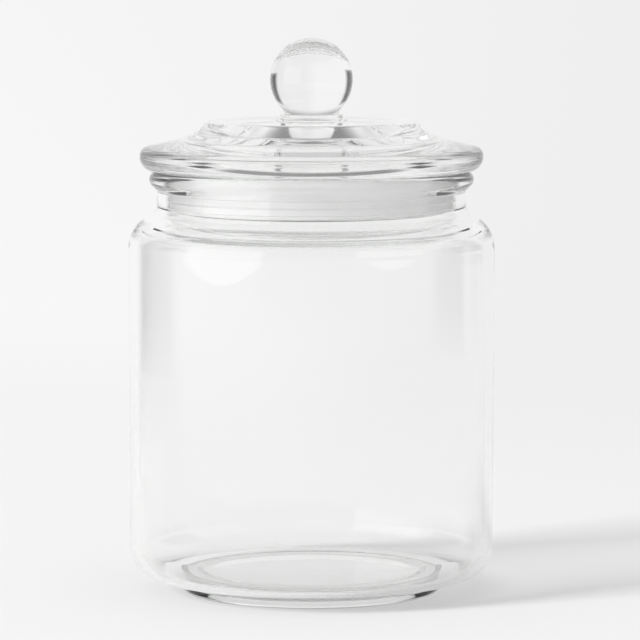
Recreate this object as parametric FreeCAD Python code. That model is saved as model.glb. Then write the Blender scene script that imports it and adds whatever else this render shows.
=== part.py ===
"""Lidded glass canister: a round storage jar with a short neck, and a heavy glass lid with a ball knob.

Four separate pieces, all turned about the Z axis, in millimetres:
  jar        blown and pressed glass, with a foot ring, a rounded heel, a shoulder, a neck and a rounded lip
  lid        pressed glass, with a thick rounded rim, a raised centre, and a plug that drops into the neck.
             Its underside is hollow, and the hollow rises under the raised centre
  knob       a solid glass ball on a short collar, fused to the boss in the middle of the lid
  seal_ring  a soft clear plastic sleeve in the groove round the plug, with three fins that wipe the neck

The origin is the centre of the circle that the foot stands on, and +Z is up.
Each piece is one closed outline, given as corners (radius, height, corner rounding), spun once round the axis.
"""
import FreeCAD
import Part

import math
import os

# Driving dimensions
BODY_DIAMETER = 140.0
TOTAL_HEIGHT = 212.0
WALL = 4.0
LID_GAP = 0.15             # between the lid's rim and the lip
RUNNING_FIT = 0.05         # the seal ring on the lid's plug
MIN_EDGE = 1e-6            # a straight run shorter than this is left out

# Jar. A name in _ROUND is the radius of a rounded corner.
BODY_R = BODY_DIAMETER / 2
HEEL_R = BODY_R - 0.35     # the body narrows a little towards the heel
HEEL_Z = 5.8               # underside of the body, outside the foot
HEEL_ROUND = 11.5
HEEL_INNER_ROUND = 9.0
FLOOR_Z = 8.0
FOOT_R = 49.2
FOOT_Z = 5.2
FOOT_WIDTH = 5.6
FOOT_LEAN = 0.3            # the foot's outside leans out by this much as it rises
FOOT_ROUND = 1.4
FOOT_ROOT_ROUND = 1.2
FOOT_INNER_ROUND = 0.8
RECESS_Z = 2.6             # the hollow under the base
RECESS_LEAN = 1.2          # its side leans in by this much as it rises
RECESS_ROUND = 1.0
SHOULDER_Z = 139.6         # where the body's side would meet the shoulder's slope
SHOULDER_ROUND = 13.0
SHOULDER_ANGLE = 30.0      # the shoulder's slope, above level
NECK_R = 59.0
NECK_ROOT_ROUND = 4.0
NECK_TOP_Z = 153.9
NECK_TOP_ROUND = 1.0
LIP_R = 61.95
LIP_FLARE_Z = 156.9        # top of the flare from the neck out to the lip
LIP_FLARE_ROUND = 2.5
LIP_TOP_Z = 161.2
LIP_ROUND = 2.9
MOUTH_R = 55.4
MOUTH_ROUND = 1.8
THROAT_Z = 142.6           # where the mouth's side would meet the slope inside the shoulder
THROAT_ROUND = 7.0

# Lid
RIM_R = 65.6
RIM_BOTTOM_Z = LIP_TOP_Z + LID_GAP
RIM_BOTTOM_ROUND = 5.3
RIM_TOP_Z = 169.9
RIM_TOP_ROUND = 3.3
TOP_BEND_R = 50.5          # the sloping top steepens here
TOP_BEND_Z = 173.3
TOP_BEND_ROUND = 18.0
STEP_BOTTOM_R = 44.5
STEP_BOTTOM_Z = 175.8
STEP_BOTTOM_ROUND = 3.0
STEP_TOP_R = 39.9
STEP_TOP_Z = 180.4
STEP_TOP_ROUND = 2.2
BOSS_R = 13.8
BOSS_Z = 181.0
BOSS_LEAN = 0.5
BOSS_ROUND = 0.3
PLUG_R = 53.4
PLUG_INNER_R = 48.5
PLUG_BOTTOM_Z = 144.2
PLUG_ROOT_ROUND = 0.8
PLUG_TIP_ROUND = 0.9
PLUG_TIP_INNER_ROUND = 2.0
GROOVE_R = 52.4
GROOVE_TOP_Z = 160.2
GROOVE_BOTTOM_Z = 145.3
GROOVE_ROUND = 0.15
CAVITY_Z = 168.5           # the hollow's ceiling, at the plug's inside
CAVITY_ROUND = 5.0
CAVITY_BEND_R = 28.5       # from here the ceiling slopes up towards the middle
CAVITY_BEND_Z = 169.0
CAVITY_BEND_ROUND = 4.0
CAVITY_TOP_R = 14.5
CAVITY_TOP_Z = 176.0

# Knob
BALL_R = 15.85
BALL_Z = TOTAL_HEIGHT - BALL_R
COLLAR_R = 12.0
COLLAR_Z = 183.0
COLLAR_ROUND = 0.4
COLLAR_FILLET = 0.5

# Seal ring
SEAL_INNER_R = GROOVE_R + RUNNING_FIT
SEAL_OUTER_R = 54.0
SEAL_END_GAP = 0.2         # above and below the ring, in its groove
SEAL_TOP_Z = GROOVE_TOP_Z - SEAL_END_GAP
SEAL_BOTTOM_Z = GROOVE_BOTTOM_Z + SEAL_END_GAP
SEAL_TOP_ROUND = 0.3
SEAL_BOTTOM_ROUND = 0.15
BORE_ROUND = 0.2
FIN_R = 55.2
FIN_COUNT = 3
FIN_PITCH = 2.9
FIRST_FIN_Z = SEAL_BOTTOM_Z + 1.6
FIN_ROOT = 1.1
FIN_ROOT_ROUND = 0.1
FIN_TIP = 0.45
FIN_TIP_ROUND = 0.15
FIN_RISE = 0.5             # each fin leans up as it goes out


def jar_outline():
    slope = math.tan(math.radians(SHOULDER_ANGLE))
    foot_inner_r = FOOT_R - FOOT_WIDTH
    neck_root_z = SHOULDER_Z + (BODY_R - NECK_R) * slope
    wall_r = BODY_R - WALL
    outside = [
        (0, RECESS_Z, 0),
        (foot_inner_r - RECESS_LEAN, RECESS_Z, RECESS_ROUND),
        (foot_inner_r, 0, FOOT_INNER_ROUND),
        (FOOT_R, 0, FOOT_ROUND),
        (FOOT_R + FOOT_LEAN, FOOT_Z, FOOT_ROOT_ROUND),
        (HEEL_R, HEEL_Z, HEEL_ROUND),
        (BODY_R, SHOULDER_Z, SHOULDER_ROUND),
        (NECK_R, neck_root_z, NECK_ROOT_ROUND),
        (NECK_R, NECK_TOP_Z, NECK_TOP_ROUND),
        (LIP_R, LIP_FLARE_Z, LIP_FLARE_ROUND),
        (LIP_R, LIP_TOP_Z, LIP_ROUND),
    ]
    inside = [
        (MOUTH_R, LIP_TOP_Z, MOUTH_ROUND),
        (MOUTH_R, THROAT_Z, THROAT_ROUND),
        (wall_r, THROAT_Z - (wall_r - MOUTH_R) * slope, THROAT_ROUND),
        (HEEL_R - WALL, FLOOR_Z, HEEL_INNER_ROUND),
        (0, FLOOR_Z, 0),
    ]
    return outside + inside


def lid_outline():
    top = [
        (0, BOSS_Z, 0),
        (BOSS_R - BOSS_LEAN, BOSS_Z, BOSS_ROUND),
        (BOSS_R, STEP_TOP_Z, BOSS_ROUND),
        (STEP_TOP_R, STEP_TOP_Z, STEP_TOP_ROUND),
        (STEP_BOTTOM_R, STEP_BOTTOM_Z, STEP_BOTTOM_ROUND),
        (TOP_BEND_R, TOP_BEND_Z, TOP_BEND_ROUND),
        (RIM_R, RIM_TOP_Z, RIM_TOP_ROUND),
        (RIM_R, RIM_BOTTOM_Z, RIM_BOTTOM_ROUND),
    ]
    plug = [
        (PLUG_R, RIM_BOTTOM_Z, PLUG_ROOT_ROUND),
        (PLUG_R, GROOVE_TOP_Z, GROOVE_ROUND),
        (GROOVE_R, GROOVE_TOP_Z, GROOVE_ROUND),
        (GROOVE_R, GROOVE_BOTTOM_Z, GROOVE_ROUND),
        (PLUG_R, GROOVE_BOTTOM_Z, GROOVE_ROUND),
        (PLUG_R, PLUG_BOTTOM_Z, PLUG_TIP_ROUND),
        (PLUG_INNER_R, PLUG_BOTTOM_Z, PLUG_TIP_INNER_ROUND),
    ]
    cavity = [
        (PLUG_INNER_R, CAVITY_Z, CAVITY_ROUND),
        (CAVITY_BEND_R, CAVITY_BEND_Z, CAVITY_BEND_ROUND),
        (CAVITY_TOP_R, CAVITY_TOP_Z, CAVITY_BEND_ROUND),
        (0, CAVITY_TOP_Z, 0),
    ]
    return top + plug + cavity


def seal_outline():
    bore = [
        (SEAL_INNER_R, SEAL_TOP_Z, BORE_ROUND),
        (SEAL_INNER_R, SEAL_BOTTOM_Z, BORE_ROUND),
        (SEAL_OUTER_R, SEAL_BOTTOM_Z, SEAL_BOTTOM_ROUND),
    ]
    fins = []
    for number in range(FIN_COUNT):
        root = FIRST_FIN_Z + number * FIN_PITCH
        tip = root + (FIN_ROOT - FIN_TIP) / 2 + FIN_RISE
        fins += [
            (SEAL_OUTER_R, root, FIN_ROOT_ROUND),
            (FIN_R, tip, FIN_TIP_ROUND),
            (FIN_R, tip + FIN_TIP, FIN_TIP_ROUND),
            (SEAL_OUTER_R, root + FIN_ROOT, FIN_ROOT_ROUND),
        ]
    return bore + fins + [(SEAL_OUTER_R, SEAL_TOP_Z, SEAL_TOP_ROUND)]


def rounded_corner(before, here, after, rounding):
    """Where the arc at a corner starts, its middle, and where it ends. A sharp corner has no middle."""
    if rounding == 0:
        return here, None, here
    back = (before - here).normalize()
    ahead = (after - here).normalize()
    half = back.getAngle(ahead) / 2
    reach = rounding / math.tan(half)
    inward = (back + ahead).normalize()
    middle = here + inward * (rounding / math.sin(half) - rounding)
    return here + back * reach, middle, here + ahead * reach


def rounded_wire(corners):
    """A closed wire in the XZ plane through corners (r, z, rounding): straight runs joined by tangent arcs."""
    points = [FreeCAD.Vector(r, 0, z) for r, z, _ in corners]
    bends = []
    for i, (_, _, rounding) in enumerate(corners):
        following = points[(i + 1) % len(points)]
        bends.append(rounded_corner(points[i - 1], points[i], following, rounding))
    edges = []
    for i, (start, middle, end) in enumerate(bends):
        if middle is not None:
            edges.append(Part.Arc(start, middle, end).toShape())
        following = bends[(i + 1) % len(bends)][0]
        run = following - end
        if run.dot(points[(i + 1) % len(points)] - points[i]) < -MIN_EDGE:
            raise ValueError(f"the rounding at {corners[i]} runs into the next corner's")
        if run.Length > MIN_EDGE:
            edges.append(Part.LineSegment(end, following).toShape())
    return Part.Wire(edges)


def turned(wire):
    """The solid that a closed wire in the XZ plane makes when it is spun once round the Z axis."""
    face = Part.Face(wire)
    return face.revolve(FreeCAD.Vector(0, 0, 0), FreeCAD.Vector(0, 0, 1), 360)


def knob_wire():
    """The ball and its collar. A small fillet fills the corner where the ball meets the collar's flat top."""
    fillet_z = COLLAR_Z + COLLAR_FILLET
    fillet_r = math.sqrt((BALL_R + COLLAR_FILLET) ** 2 - (BALL_Z - fillet_z) ** 2)
    fillet_centre = FreeCAD.Vector(fillet_r, 0, fillet_z)
    ball_centre = FreeCAD.Vector(0, 0, BALL_Z)
    ball_touch = ball_centre + (fillet_centre - ball_centre).normalize() * BALL_R
    flat_touch = FreeCAD.Vector(fillet_r, 0, COLLAR_Z)
    fillet_out = ((ball_touch - fillet_centre) + (flat_touch - fillet_centre)).normalize()
    fillet_middle = fillet_centre + fillet_out * COLLAR_FILLET
    axis_bottom = FreeCAD.Vector(0, 0, BOSS_Z)
    collar_bottom = FreeCAD.Vector(COLLAR_R, 0, BOSS_Z)
    edge_centre = FreeCAD.Vector(COLLAR_R - COLLAR_ROUND, 0, COLLAR_Z - COLLAR_ROUND)
    side_top = edge_centre + FreeCAD.Vector(COLLAR_ROUND, 0, 0)
    edge_middle = edge_centre + FreeCAD.Vector(1, 0, 1).normalize() * COLLAR_ROUND
    flat_end = edge_centre + FreeCAD.Vector(0, 0, COLLAR_ROUND)
    ball_side = FreeCAD.Vector(BALL_R, 0, BALL_Z)
    ball_top = FreeCAD.Vector(0, 0, TOTAL_HEIGHT)
    return Part.Wire([
        Part.LineSegment(axis_bottom, collar_bottom).toShape(),
        Part.LineSegment(collar_bottom, side_top).toShape(),
        Part.Arc(side_top, edge_middle, flat_end).toShape(),
        Part.LineSegment(flat_end, flat_touch).toShape(),
        Part.Arc(flat_touch, fillet_middle, ball_touch).toShape(),
        Part.Arc(ball_touch, ball_side, ball_top).toShape(),
        Part.LineSegment(ball_top, axis_bottom).toShape(),
    ])


def main():
    os.makedirs("parts", exist_ok=True)
    pieces = {
        "jar": turned(rounded_wire(jar_outline())),
        "lid": turned(rounded_wire(lid_outline())),
        "knob": turned(knob_wire()),
        "seal_ring": turned(rounded_wire(seal_outline())),
    }
    for name, solid in pieces.items():
        solid.exportStep(f"parts/{name}.step")
        box = solid.BoundBox
        print(f"{name}: {solid.ShapeType}, valid {solid.isValid()}, {solid.Volume / 1000:.1f} cm3,"
              f" radius {box.XMax:.2f}, z {box.ZMin:.2f} to {box.ZMax:.2f}")


main()
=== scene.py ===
"""The looks of a round glass canister with a glass lid, on a pale floor in soft light.

Every piece is turned about the Z axis, like the CAD part that it stands for. An outline is a list of
corners (radius, height, rounding) in millimetres, walked with the solid on the left. All else is in metres.
"""

import math

import bpy
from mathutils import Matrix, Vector


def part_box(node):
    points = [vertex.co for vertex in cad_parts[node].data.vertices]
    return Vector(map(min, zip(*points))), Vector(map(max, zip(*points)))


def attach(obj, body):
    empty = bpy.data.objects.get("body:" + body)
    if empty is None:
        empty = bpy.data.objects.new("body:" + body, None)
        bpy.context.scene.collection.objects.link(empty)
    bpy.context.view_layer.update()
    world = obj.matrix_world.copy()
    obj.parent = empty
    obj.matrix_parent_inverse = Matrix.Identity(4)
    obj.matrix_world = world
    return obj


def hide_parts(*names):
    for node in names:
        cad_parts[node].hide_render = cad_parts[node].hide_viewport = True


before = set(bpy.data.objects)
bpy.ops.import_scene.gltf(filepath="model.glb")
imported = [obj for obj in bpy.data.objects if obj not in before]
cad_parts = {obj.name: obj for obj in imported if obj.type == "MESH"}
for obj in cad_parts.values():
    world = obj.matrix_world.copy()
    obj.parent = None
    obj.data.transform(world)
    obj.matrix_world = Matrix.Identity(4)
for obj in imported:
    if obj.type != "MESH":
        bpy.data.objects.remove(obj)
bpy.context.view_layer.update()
MM = 0.001

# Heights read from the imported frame, in millimetres
LIP_TOP_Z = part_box("jar")[1].z / MM
PLUG_BOTTOM_Z, BOSS_Z = [corner.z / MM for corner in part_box("lid")]
SEAL_BOTTOM_Z, SEAL_TOP_Z = [corner.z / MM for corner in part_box("seal_ring")]
KNOB_TOP_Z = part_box("knob")[1].z / MM

# Radii, in millimetres
BODY_R = 70.0
WALL = 4.0
RIM_R = 65.6
BALL_R = 15.85
COLLAR_R = 12.0            # the knob's collar, where it is fused to the lid
BALL_Z = KNOB_TOP_Z - BALL_R

SEGMENTS = 288             # steps round the axis
ARC_STEP = math.radians(5)
RUN_STEP = 4.0             # longest straight step along an outline, in millimetres

BACKGROUND = 0.905         # tone of the surroundings at the horizon, and of the floor far from the jar
FILL = 0.66                # tone of the surroundings as far as they light what is matt
CEILING = 0.3              # tone overhead, as a share of the tone at the horizon
KEY = 568.0                # power of the lamp that lights what is matt, in watts


# ---------------------------------------------------------------- turned shapes

class Outline:
    """A path of straight runs and arcs, with the surface's true direction at both ends of each step."""

    def __init__(self, r, z):
        self.points = [(r, z)]
        self.normals = []

    def run_to(self, r, z):
        r0, z0 = self.points[-1]
        length = math.hypot(r - r0, z - z0)
        if length < 1e-6:
            return
        normal = ((z - z0) / length, (r0 - r) / length)
        steps = max(1, math.ceil(length / RUN_STEP))
        for i in range(1, steps + 1):
            share = i / steps
            self.points.append((r0 + (r - r0) * share, z0 + (z - z0) * share))
            self.normals.append((normal, normal))

    def arc(self, centre, radius, start, sweep):
        """Angles are in radians from +r towards +z. A positive sweep bulges away from the solid."""
        side = 1 if sweep > 0 else -1
        steps = max(3, math.ceil(abs(sweep) / ARC_STEP))
        previous = None
        for i in range(steps + 1):
            angle = start + sweep * i / steps
            normal = (side * math.cos(angle), side * math.sin(angle))
            if i > 0:
                self.points.append((
                    centre[0] + radius * math.cos(angle),
                    centre[1] + radius * math.sin(angle),
                ))
                self.normals.append((previous, normal))
            previous = normal

    def round_corner(self, before, here, after, rounding):
        """Runs up to a corner and round it."""
        if rounding == 0:
            self.run_to(*here)
            return
        here = Vector(here)
        back = (Vector(before) - here).normalized()
        ahead = (Vector(after) - here).normalized()
        half = back.angle(ahead) / 2
        start = here + back * (rounding / math.tan(half))
        centre = here + (back + ahead).normalized() * (rounding / math.sin(half))
        turn = math.pi - 2 * half
        if back.x * ahead.y - back.y * ahead.x > 0:
            turn = -turn
        self.run_to(*start)
        spoke = start - centre
        self.arc(centre, rounding, math.atan2(spoke.y, spoke.x), turn)


def outline_through(corners, closed=False):
    """The outline through corners (radius, height, rounding)."""
    places = [corner[:2] for corner in corners]
    count = len(corners)
    if closed:
        first = Vector(places[0])
        middle = (first + Vector(places[-1])) / 2
        path = Outline(*middle)
    else:
        path = Outline(*places[0])
    for i, (r, z, rounding) in enumerate(corners):
        path.round_corner(places[i - 1], (r, z), places[(i + 1) % count], rounding)
    if closed:
        path.run_to(*middle)
        path.points.pop()
    return path


def turned(name, path):
    """The mesh that an outline makes when it is spun round the Z axis, with the true normals."""
    directions = []
    for j in range(SEGMENTS):
        angle = 2 * math.pi * j / SEGMENTS
        directions.append((math.cos(angle), math.sin(angle)))
    verts, rings = [], []
    for r, z in path.points:
        if r < 1e-6:
            rings.append([len(verts)] * SEGMENTS)
            verts.append((0, 0, z * MM))
        else:
            rings.append(range(len(verts), len(verts) + SEGMENTS))
            verts += [(r * c * MM, r * s * MM, z * MM) for c, s in directions]
    faces, normals = [], []
    for i, (low, high) in enumerate(path.normals):
        here, there = rings[i], rings[(i + 1) % len(rings)]
        for j in range(SEGMENTS):
            k = (j + 1) % SEGMENTS
            corners = [(here[j], j, low), (here[k], k, low), (there[k], k, high), (there[j], j, high)]
            if here[j] == here[k]:
                corners.pop(0)
            if there[j] == there[k]:
                corners.pop()
            faces.append([vertex for vertex, _, _ in corners])
            for _, step, (nr, nz) in corners:
                c, s = directions[step]
                normals.append((nr * c, nr * s, nz))
    mesh = bpy.data.meshes.new(name)
    mesh.from_pydata(verts, [], faces)
    mesh.shade_smooth()
    mesh.normals_split_custom_set(normals)
    piece = bpy.data.objects.new(name, mesh)
    bpy.context.scene.collection.objects.link(piece)
    return piece


# ---------------------------------------------------------------- outlines

def jar_outline():
    foot_r = 49.2
    foot_inner_r = 43.6
    foot_z = 5.2
    recess_r = foot_inner_r - 1.2
    recess_z = 2.6
    floor_z = 8.0
    heel_r = BODY_R - 0.35
    heel_z = 5.8
    shoulder_z = 139.6
    slope = math.radians(30)
    neck_r = 59.0
    neck_root_z = shoulder_z + (BODY_R - neck_r) * math.tan(slope)
    neck_top_z = 153.9
    lip_r = 61.95
    lip_flare_z = 156.9
    mouth_r = 55.4
    throat_z = 142.6
    wall_r = BODY_R - WALL
    wall_top_z = throat_z - (wall_r - mouth_r) * math.tan(slope)
    return outline_through([
        (0, recess_z, 0),
        (recess_r, recess_z, 1.0),
        (foot_inner_r, 0, 0.8),
        (foot_r, 0, 1.4),
        (foot_r + 0.3, foot_z, 1.2),
        (heel_r, heel_z, 11.5),
        (BODY_R, shoulder_z, 13.0),
        (neck_r, neck_root_z, 4.0),
        (neck_r, neck_top_z, 1.0),
        (lip_r, lip_flare_z, 2.5),
        (lip_r, LIP_TOP_Z, 2.9),
        (mouth_r, LIP_TOP_Z, 1.8),
        (mouth_r, throat_z, 7.0),
        (wall_r, wall_top_z, 7.0),
        (heel_r - WALL, floor_z, 9.0),
        (0, floor_z, 0),
    ])


def lid_outline():
    """From the middle of the lid's hollow, out over the plug and the rim, and in to the knob's collar."""
    hollow_top = (14.5, 176.0)
    hollow_bend = (28.5, 169.0)
    hollow_z = 168.5
    plug_inner_r = 48.5
    plug_r = 53.4
    groove_r = 52.4
    groove_bottom_z = 145.3
    groove_top_z = 160.2
    rim_bottom_z = LIP_TOP_Z + 0.15
    rim_top_z = 169.9
    top_bend = (50.5, 173.3)
    step_bottom = (44.5, 175.8)
    step_top = (39.9, 180.4)
    boss_r = 13.8
    return outline_through([
        (0, hollow_top[1], 0),
        (*hollow_top, 4.0),
        (*hollow_bend, 4.0),
        (plug_inner_r, hollow_z, 5.0),
        (plug_inner_r, PLUG_BOTTOM_Z, 2.0),
        (plug_r, PLUG_BOTTOM_Z, 0.9),
        (plug_r, groove_bottom_z, 0.15),
        (groove_r, groove_bottom_z, 0.15),
        (groove_r, groove_top_z, 0.15),
        (plug_r, groove_top_z, 0.15),
        (plug_r, rim_bottom_z, 0.8),
        (RIM_R, rim_bottom_z, 5.3),
        (RIM_R, rim_top_z, 3.3),
        (*top_bend, 18.0),
        (*step_bottom, 3.0),
        (*step_top, 2.2),
        (boss_r, step_top[1], 0.3),
        (boss_r - 0.5, BOSS_Z, 0.3),
        (COLLAR_R, BOSS_Z, 0),
    ])


def knob_outline():
    """A ball on a short collar, with a small fillet where they meet.

    The collar's foot is open, and so is the lid under it, because the glass runs on from one to the other.
    """
    collar_z = 183.0
    edge = 0.4
    fillet = 0.5
    fillet_z = collar_z + fillet
    fillet_r = math.sqrt((BALL_R + fillet) ** 2 - (BALL_Z - fillet_z) ** 2)
    lean = math.atan2(BALL_Z - fillet_z, fillet_r)
    path = Outline(COLLAR_R, BOSS_Z)
    path.run_to(COLLAR_R, collar_z - edge)
    path.arc((COLLAR_R - edge, collar_z - edge), edge, 0, math.pi / 2)
    path.run_to(fillet_r, collar_z)
    path.arc((fillet_r, fillet_z), fillet, -math.pi / 2, lean - math.pi / 2)
    path.arc((0, BALL_Z), BALL_R, -lean, math.pi / 2 + lean)
    return path


def seal_outline():
    """A sleeve with three fins that lean up as they go out."""
    inner_r = 52.45
    body_r = 54.0
    fin_r = 55.2
    first_fin_z = SEAL_BOTTOM_Z + 1.6
    fin_pitch = 2.9
    fin_root = 1.1
    fin_tip = 0.45
    fin_rise = 0.5
    corners = [
        (inner_r, SEAL_TOP_Z, 0.2),
        (inner_r, SEAL_BOTTOM_Z, 0.2),
        (body_r, SEAL_BOTTOM_Z, 0.15),
    ]
    for number in range(3):
        root = first_fin_z + fin_pitch * number
        tip = root + (fin_root - fin_tip) / 2 + fin_rise
        corners += [
            (body_r, root, 0.1),
            (fin_r, tip, 0.15),
            (fin_r, tip + fin_tip, 0.15),
            (body_r, root + fin_root, 0.1),
        ]
    corners.append((body_r, SEAL_TOP_Z, 0.3))
    return outline_through(corners, closed=True)


# ---------------------------------------------------------------- materials

def new_material(name):
    material = bpy.data.materials.new(name)
    material.use_nodes = True
    nodes = material.node_tree.nodes
    return material, nodes, material.node_tree.links, nodes["Principled BSDF"]


def glass(name, tint, wave_size, wave_depth):
    """Clear glass whose surface waves slightly, as blown and pressed glass does."""
    material, nodes, links, surface = new_material(name)
    surface.inputs["Base Color"].default_value = (*tint, 1)
    surface.inputs["Roughness"].default_value = 0.0
    surface.inputs["IOR"].default_value = 1.51
    surface.inputs["Transmission Weight"].default_value = 1.0
    place = nodes.new("ShaderNodeTexCoord")
    noise = nodes.new("ShaderNodeTexNoise")
    noise.inputs["Scale"].default_value = 1 / wave_size
    noise.inputs["Detail"].default_value = 1.5
    bump = nodes.new("ShaderNodeBump")
    bump.inputs["Distance"].default_value = wave_depth
    bump.inputs["Strength"].default_value = 1.0
    links.new(place.outputs["Object"], noise.inputs["Vector"])
    links.new(noise.outputs["Fac"], bump.inputs["Height"])
    links.new(bump.outputs["Normal"], surface.inputs["Normal"])
    let_light_through(nodes, links, surface)
    return material


def clear_film(nodes, links, facing, face_on, edge_on):
    """Lets light straight through, and dims it more where it meets the surface edge on."""
    tint = nodes.new("ShaderNodeMix")
    tint.data_type = "RGBA"
    tint.inputs["A"].default_value = (face_on, face_on, face_on, 1)
    tint.inputs["B"].default_value = (edge_on, edge_on, edge_on, 1)
    clear = nodes.new("ShaderNodeBsdfTransparent")
    links.new(facing, tint.inputs["Factor"])
    links.new(tint.outputs["Result"], clear.inputs["Color"])
    return clear.outputs["BSDF"]


def let_light_through(nodes, links, surface):
    """Lamps light what is beyond the glass, with a faint shadow, and so do the floor and the surround."""
    edge = nodes.new("ShaderNodeLayerWeight")
    edge.inputs["Blend"].default_value = 0.35
    facing = edge.outputs["Facing"]
    kind = nodes.new("ShaderNodeLightPath")
    for_matt = nodes.new("ShaderNodeMixShader")
    for_lamps = nodes.new("ShaderNodeMixShader")
    links.new(kind.outputs["Is Diffuse Ray"], for_matt.inputs["Fac"])
    links.new(surface.outputs["BSDF"], for_matt.inputs[1])
    links.new(clear_film(nodes, links, facing, face_on=0.97, edge_on=0.85), for_matt.inputs[2])
    links.new(kind.outputs["Is Shadow Ray"], for_lamps.inputs["Fac"])
    links.new(for_matt.outputs["Shader"], for_lamps.inputs[1])
    links.new(clear_film(nodes, links, facing, face_on=0.95, edge_on=0.5), for_lamps.inputs[2])
    links.new(for_lamps.outputs["Shader"], nodes["Material Output"].inputs["Surface"])


def soft_plastic():
    """The seal's translucent plastic."""
    material, nodes, links, surface = new_material("seal_plastic")
    surface.inputs["Base Color"].default_value = (0.985, 0.987, 0.985, 1)
    surface.inputs["Roughness"].default_value = 0.4
    surface.inputs["IOR"].default_value = 1.4
    surface.inputs["Transmission Weight"].default_value = 0.7
    let_light_through(nodes, links, surface)
    return material


def paint(piece, material):
    piece.data.materials.clear()
    piece.data.materials.append(material)


# ---------------------------------------------------------------- the pieces

def make_piece(name, path, node, body, material):
    piece = turned(name, path)
    paint(piece, material)
    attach(piece, body)
    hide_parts(node)
    return piece


def make_pieces():
    clear = (0.987, 0.99, 0.986)
    jar_glass = glass("jar_glass_look", clear, wave_size=0.03, wave_depth=0.00003)
    lid_glass = glass("lid_glass_look", clear, wave_size=0.012, wave_depth=0.00002)
    knob_glass = glass("knob_glass_look", clear, wave_size=0.02, wave_depth=0.00001)
    make_piece("jar_glass_body", jar_outline(), "jar", "jar", jar_glass)
    make_piece("lid_glass_cover", lid_outline(), "lid", "lid", lid_glass)
    make_piece("knob_glass_ball", knob_outline(), "knob", "lid", knob_glass)
    make_piece("soft_seal_ring", seal_outline(), "seal_ring", "seal", soft_plastic())


# ---------------------------------------------------------------- floor, surroundings and lights

def side_to_side(nodes, links, place):
    """The surround's tone by direction: a little brighter towards the left (-X) than towards the right."""
    reach = 0.13               # of the level direction's X, either way
    brighter, darker = 0.03, 0.04
    flat = nodes.new("ShaderNodeVectorMath")
    flat.operation = "MULTIPLY"
    flat.inputs[1].default_value = (1, 1, 0)
    unit = nodes.new("ShaderNodeVectorMath")
    unit.operation = "NORMALIZE"
    parts = nodes.new("ShaderNodeSeparateXYZ")
    tone = nodes.new("ShaderNodeMapRange")
    tone.interpolation_type = "SMOOTHSTEP"
    tone.inputs["From Min"].default_value = -reach
    tone.inputs["From Max"].default_value = reach
    tone.inputs["To Min"].default_value = BACKGROUND + brighter
    tone.inputs["To Max"].default_value = BACKGROUND - darker
    links.new(place, flat.inputs[0])
    links.new(flat.outputs["Vector"], unit.inputs[0])
    links.new(unit.outputs["Vector"], parts.inputs["Vector"])
    links.new(parts.outputs["X"], tone.inputs["Value"])
    return tone.outputs["Result"]


def floor():
    """A flat disc, plain matt white near the jar. Further out it glows, as painted light with no shadow, a
    little brighter towards the left.

    It keeps a trace of the matt surface all the way out, so that no line shows where the change ends.
    """
    radius = 30.0
    steps = 128
    matt_within = 0.8
    even_beyond = 1.6
    most_even = 0.97
    ring = []
    for i in range(steps):
        angle = 2 * math.pi * i / steps
        ring.append((radius * math.cos(angle), radius * math.sin(angle), 0))
    mesh = bpy.data.meshes.new("floor")
    mesh.from_pydata(ring, [], [list(range(steps))])
    disc = bpy.data.objects.new("floor", mesh)
    bpy.context.scene.collection.objects.link(disc)
    material, nodes, links, matt = new_material("floor_white")
    matt.inputs["Base Color"].default_value = (0.86, 0.86, 0.86, 1)
    matt.inputs["Roughness"].default_value = 1.0
    matt.inputs["Specular IOR Level"].default_value = 0.0
    glow = nodes.new("ShaderNodeEmission")
    place = nodes.new("ShaderNodeTexCoord")
    distance = nodes.new("ShaderNodeVectorMath")
    distance.operation = "DISTANCE"
    distance.inputs[1].default_value = (-0.4, -0.5, 0)
    fade = nodes.new("ShaderNodeMapRange")
    fade.interpolation_type = "SMOOTHSTEP"
    fade.inputs["From Min"].default_value = matt_within
    fade.inputs["From Max"].default_value = even_beyond
    fade.inputs["To Max"].default_value = most_even
    mix = nodes.new("ShaderNodeMixShader")
    # The far floor's glow is painted light: the surround's tone, a little brighter towards the left.
    links.new(side_to_side(nodes, links, place.outputs["Object"]), glow.inputs["Color"])
    links.new(place.outputs["Object"], distance.inputs[0])
    links.new(distance.outputs["Value"], fade.inputs["Value"])
    links.new(fade.outputs["Result"], mix.inputs["Fac"])
    links.new(matt.outputs["BSDF"], mix.inputs[1])
    links.new(glow.outputs["Emission"], mix.inputs[2])
    links.new(mix.outputs["Shader"], nodes["Material Output"].inputs["Surface"])
    paint(disc, material)


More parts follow.
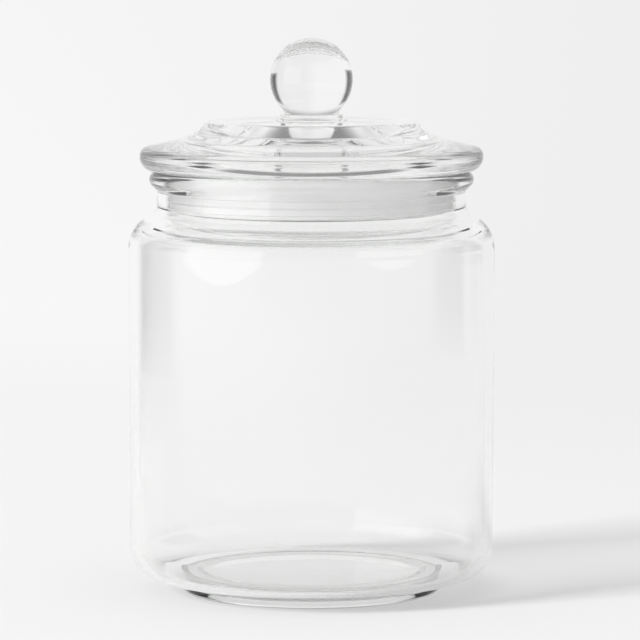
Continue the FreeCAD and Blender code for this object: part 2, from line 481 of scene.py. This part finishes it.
def surroundings():
    """An even surround to look at, and a weaker one that lights what is matt, so that shadows show."""
    even_below, ceiling_above = 0.55, 0.8      # of the direction's Z
    world = bpy.data.worlds.new("soft_white")
    bpy.context.scene.world = world
    world.use_nodes = True
    nodes, links = world.node_tree.nodes, world.node_tree.links
    seen = nodes["Background"]
    place = nodes.new("ShaderNodeTexCoord")
    parts = nodes.new("ShaderNodeSeparateXYZ")
    high = nodes.new("ShaderNodeMapRange")
    high.interpolation_type = "SMOOTHSTEP"
    high.inputs["From Min"].default_value = even_below
    high.inputs["From Max"].default_value = ceiling_above
    high.inputs["To Min"].default_value = 1.0
    high.inputs["To Max"].default_value = CEILING
    fill = nodes.new("ShaderNodeBackground")
    fill.inputs["Color"].default_value = (FILL, FILL, FILL, 1)
    kind = nodes.new("ShaderNodeLightPath")
    looked_at = nodes.new("ShaderNodeMath")
    looked_at.operation = "ADD"
    also = nodes.new("ShaderNodeMath")
    also.operation = "ADD"
    also.use_clamp = True
    mix = nodes.new("ShaderNodeMixShader")
    links.new(side_to_side(nodes, links, place.outputs["Generated"]), seen.inputs["Color"])
    links.new(place.outputs["Generated"], parts.inputs["Vector"])
    links.new(parts.outputs["Z"], high.inputs["Value"])
    links.new(high.outputs["Result"], seen.inputs["Strength"])
    links.new(kind.outputs["Is Camera Ray"], looked_at.inputs[0])
    links.new(kind.outputs["Is Glossy Ray"], looked_at.inputs[1])
    links.new(looked_at.outputs["Value"], also.inputs[0])
    links.new(kind.outputs["Is Transmission Ray"], also.inputs[1])
    links.new(also.outputs["Value"], mix.inputs["Fac"])
    links.new(fill.outputs["Background"], mix.inputs[1])
    links.new(seen.outputs["Background"], mix.inputs[2])
    links.new(mix.outputs["Shader"], nodes["World Output"].inputs["Surface"])


def card(name, tone, near, far, low, high, radius, seen="both", foot_fade=0.14):
    """A grey card, bent round the jar, with soft edges. near and far are its azimuths.

    It is seen only in reflections ("mirrored"), only through glass ("through"), or in both ways.
    """
    steps, levels = 32, 24
    soft_degrees = 9.0
    soft_top = 0.14
    foot_start = 0.01          # the fade at the foot starts this far below it
    verts, faces, shares = [], [], []
    for i in range(steps + 1):
        azimuth = near + (far - near) * i / steps
        spot = direction(azimuth) * radius
        from_end = min(abs(azimuth - near), abs(azimuth - far)) / soft_degrees
        for j in range(levels + 1):
            height = low + (high - low) * j / levels
            verts.append((spot.x, spot.y, height))
            from_top = (high - height) / soft_top
            from_foot = (height - low + foot_start) / foot_fade
            shares.append(max(0.0, min(1.0, from_end, from_top, from_foot)))
    for i in range(steps):
        for j in range(levels):
            a = i * (levels + 1) + j
            faces.append((a, a + 1, a + levels + 2, a + levels + 1))
    mesh = bpy.data.meshes.new(name)
    mesh.from_pydata(verts, [], faces)
    cover = mesh.attributes.new("cover", "FLOAT", "POINT")
    cover.data.foreach_set("value", shares)
    piece = bpy.data.objects.new(name, mesh)
    bpy.context.scene.collection.objects.link(piece)
    material, nodes, links, matt = new_material(name)
    nodes.remove(matt)
    glow = nodes.new("ShaderNodeEmission")
    glow.inputs["Color"].default_value = (tone, tone, tone, 1)
    clear = nodes.new("ShaderNodeBsdfTransparent")
    share = nodes.new("ShaderNodeAttribute")
    share.attribute_name = "cover"
    mix = nodes.new("ShaderNodeMixShader")
    links.new(share.outputs["Fac"], mix.inputs["Fac"])
    links.new(clear.outputs["BSDF"], mix.inputs[1])
    links.new(glow.outputs["Emission"], mix.inputs[2])
    links.new(mix.outputs["Shader"], nodes["Material Output"].inputs["Surface"])
    paint(piece, material)
    piece.visible_camera = False
    piece.visible_diffuse = False
    piece.visible_shadow = False
    piece.visible_glossy = seen != "through"
    piece.visible_transmission = seen != "mirrored"


def direction(azimuth):
    """Unit vector along the floor. Azimuth 0 is towards the camera and +90 is to the right, in degrees."""
    angle = math.radians(azimuth)
    return Vector((math.sin(angle), -math.cos(angle), 0))


def area_light(name, azimuth, distance, low, high, width, energy, tilt=0.0):
    """A large soft lamp that faces the jar, tilted down by so many degrees. The camera never sees it."""
    data = bpy.data.lights.new(name, "AREA")
    data.shape = "RECTANGLE"
    data.size = width
    data.size_y = high - low
    data.energy = energy
    lamp = bpy.data.objects.new(name, data)
    lamp.location = direction(azimuth) * distance + Vector((0, 0, (low + high) / 2))
    lamp.rotation_euler = (math.radians(90 - tilt), 0, math.radians(azimuth))
    lamp.visible_camera = False
    bpy.context.scene.collection.objects.link(lamp)
    return lamp


def lights():
    """A window at the front left that the glass mirrors, and a lamp that lights only what is matt."""
    window = area_light("window", azimuth=-58, distance=1.15, low=0.02, high=0.9, width=1.17, energy=2.0)
    window.visible_diffuse = False
    key = area_light("floor_key", azimuth=-58.4, distance=7.0, low=2.4, high=4.4, width=2.0, energy=KEY,
                     tilt=25.0)
    key.visible_glossy = False
    key.visible_transmission = False


def cards():
    """Dark things at the sides, which draw the edges of the glass, and a dull room in front."""
    card("left_mirror_card", tone=0.42, near=-82, far=-136, low=0.0, high=0.6, radius=0.5,
         seen="mirrored", foot_fade=0.05)
    card("left_deep_card", tone=0.02, near=-94, far=-138, low=0.0, high=0.75, radius=0.8,
         seen="through", foot_fade=0.05)
    card("right_deep_card", tone=0.03, near=94, far=138, low=0.06, high=0.75, radius=0.8,
         seen="through", foot_fade=0.05)
    card("room_card", tone=0.66, near=-32, far=84, low=0.0, high=0.9, radius=0.9)


def camera():
    """A long lens about 1.7 m away, a little above the jar and looking slightly down."""
    data = bpy.data.cameras.new("camera")
    data.sensor_width = 36.0
    data.lens = 248.3
    data.clip_start = 0.05
    data.clip_end = 200.0
    eye = bpy.data.objects.new("camera", data)
    eye.location = (0.00325, -1.683, 0.269)
    eye.rotation_euler = (math.radians(90 - 5.6), 0, 0)
    bpy.context.scene.collection.objects.link(eye)
    bpy.context.scene.camera = eye


def render_choices():
    scene = bpy.context.scene
    scene.view_settings.view_transform = "Standard"
    scene.cycles.max_bounces = 40
    scene.cycles.transmission_bounces = 40
    scene.cycles.glossy_bounces = 16
    scene.cycles.transparent_max_bounces = 32


make_pieces()
floor()
surroundings()
lights()
cards()
camera()
render_choices()
